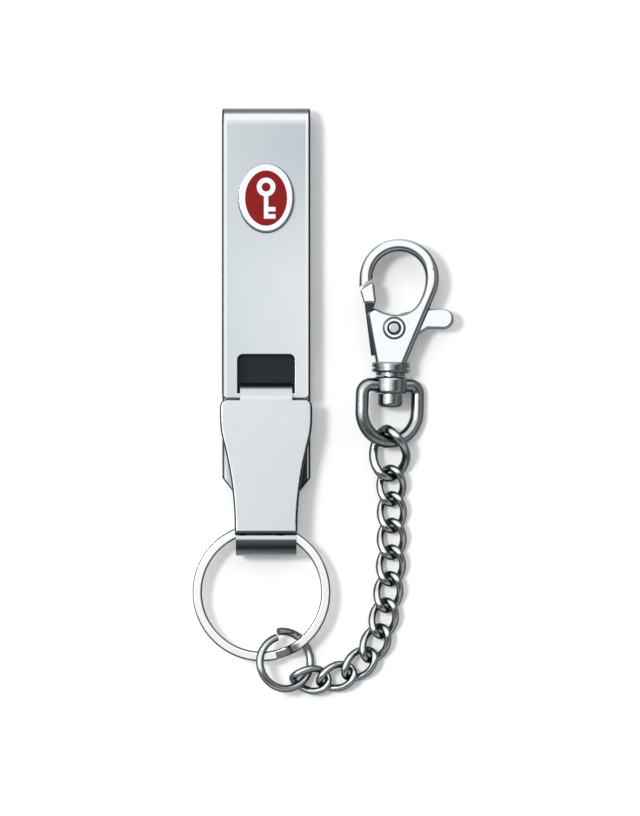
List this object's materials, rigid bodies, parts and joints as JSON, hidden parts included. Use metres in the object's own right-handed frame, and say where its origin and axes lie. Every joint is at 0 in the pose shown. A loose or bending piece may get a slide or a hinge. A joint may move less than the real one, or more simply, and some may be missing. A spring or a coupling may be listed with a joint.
{
  "type": "belt key clip",
  "caption": "Folded steel belt clip with a hinged hanger and split key ring, a short curb chain and a swivel snap hook with a sprung trigger.",
  "frame": {"origin": "middle of the back leaf's outer face, the face that lies against the table or the wearer", "axes": "+X across the clip towards the chain, +Y up the clip towards its bend, +Z out through the front leaf"},
  "size_m": [0.0473, 0.1064, 0.0077],
  "materials": {
    "strip_steel": "brushed",
    "hanger_steel": "brushed",
    "badge_steel": "polished",
    "enamel": "gloss",
    "ring_plate": "polished",
    "chain_plate": "polished",
    "hook_plate": "polished",
    "rivet_steel": "satin",
    "spring_steel": "satin"
  },
  "bodies": {
    "clip": {"clip_body": "strip_steel", "badge_base": "badge_steel", "badge_enamel": "enamel", "badge_enamel_dot": "enamel"},
    "hanger": {"key_hanger": "hanger_steel"},
    "key_ring": {"split_ring": "ring_plate"},
    "jump": {"jump_ring": "ring_plate"},
    "link_10": {"chain_link_10": "chain_plate"},
    "link_09": {"chain_link_09": "chain_plate"},
    "link_08": {"chain_link_08": "chain_plate"},
    "link_07": {"chain_link_07": "chain_plate"},
    "link_06": {"chain_link_06": "chain_plate"},
    "link_05": {"chain_link_05": "chain_plate"},
    "link_04": {"chain_link_04": "chain_plate"},
    "link_03": {"chain_link_03": "chain_plate"},
    "link_02": {"chain_link_02": "chain_plate"},
    "link_01": {"chain_link_01": "chain_plate"},
    "connector": {"connecting_link": "chain_plate"},
    "bail": {"swivel_bail": "hook_plate"},
    "hook": {"hook_body": "hook_plate", "swivel_stud": "hook_plate", "trigger_rivet": "rivet_steel", "trigger_spring": "spring_steel"},
    "trigger": {"trigger": "hook_plate"}
  },
  "joints": [
    {"name": "hanger_swing", "type": "hinge", "parent": "clip", "child": "hanger", "pos_m": [0, -0.0174, 0.0056], "axis": [-1, 0, 0], "range_deg": [0, 75]},
    {"name": "key_ring_swing", "type": "hinge", "parent": "hanger", "child": "key_ring", "pos_m": [-0.00084, -0.0422, 0.00414], "axis": [1, 0, 0], "range_deg": [-65, 50]},
    {"name": "jump_ring_travel", "type": "hinge", "parent": "key_ring", "child": "jump", "pos_m": [-0.00084, -0.05294, 0.00377], "axis": [0, -0.0344, 0.9994], "range_deg": [-60, 4]},
    {"name": "link_10_yaw", "type": "hinge", "parent": "jump", "child": "link_10", "pos_m": [0.00673, -0.06896, 0.00205], "axis": [0, 0, 1], "range_deg": [-12, 4]},
    {"name": "link_09_yaw", "type": "hinge", "parent": "link_10", "child": "link_09", "pos_m": [0.01041, -0.06904, 0.00187], "axis": [0, 0, -1], "range_deg": [-2, 40]},
    {"name": "link_08_yaw", "type": "hinge", "parent": "link_09", "child": "link_08", "pos_m": [0.01504, -0.06763, 0.00173], "axis": [0, 0, 1], "range_deg": [-40, 2]},
    {"name": "link_07_yaw", "type": "hinge", "parent": "link_08", "child": "link_07", "pos_m": [0.01869, -0.06445, 0.0016], "axis": [0, 0, -1], "range_deg": [-2, 40]},
    {"name": "link_06_yaw", "type": "hinge", "parent": "link_07", "child": "link_06", "pos_m": [0.02081, -0.0601, 0.00156], "axis": [0, 0, 1], "range_deg": [-30, 5]},
    {"name": "link_05_pitch", "type": "hinge", "parent": "link_06", "child": "link_05", "pos_m": [0.02182, -0.05537, 0.00156], "axis": [0.9903, -0.1392, 0], "range_deg": [-18, 18]},
    {"name": "link_04_pitch", "type": "hinge", "parent": "link_05", "child": "link_04", "pos_m": [0.02249, -0.05058, 0.00156], "axis": [-0.9986, 0.0523, 0], "range_deg": [-18, 18]},
    {"name": "link_03_pitch", "type": "hinge", "parent": "link_04", "child": "link_03", "pos_m": [0.02275, -0.04575, 0.00156], "axis": [1, -0.0087, 0], "range_deg": [-18, 18]},
    {"name": "link_02_pitch", "type": "hinge", "parent": "link_03", "child": "link_02", "pos_m": [0.02279, -0.0409, 0.00156], "axis": [-1, 0, 0], "range_deg": [-18, 18]},
    {"name": "link_01_pitch", "type": "hinge", "parent": "link_02", "child": "link_01", "pos_m": [0.02279, -0.03606, 0.00156], "axis": [0.9994, 0.0349, 0], "range_deg": [-18, 18]},
    {"name": "connector_pitch", "type": "hinge", "parent": "link_01", "child": "connector", "pos_m": [0.02262, -0.03126, 0.00215], "axis": [-0.9976, -0.0698, 0], "range_deg": [-10, 12]},
    {"name": "bail_swing", "type": "hinge", "parent": "connector", "child": "bail", "pos_m": [0.02223, -0.02563, 0.00347], "axis": [0.9167, -0.024, -0.3987], "range_deg": [-20, 20]},
    {"name": "hook_swivel", "type": "hinge", "parent": "bail", "child": "hook", "pos_m": [0.02254, -0.01373, 0.00347], "axis": [0.0262, 0.9997, 0], "continuous": true},
    {"name": "trigger_pivot", "type": "hinge", "parent": "hook", "child": "trigger", "pos_m": [0.02318, -0.00508, 0.00347], "axis": [0, 0, -1], "range_deg": [0, 28], "stiffness_Nm_per_rad": 0.05, "springref_deg": -20.05}
  ]
}
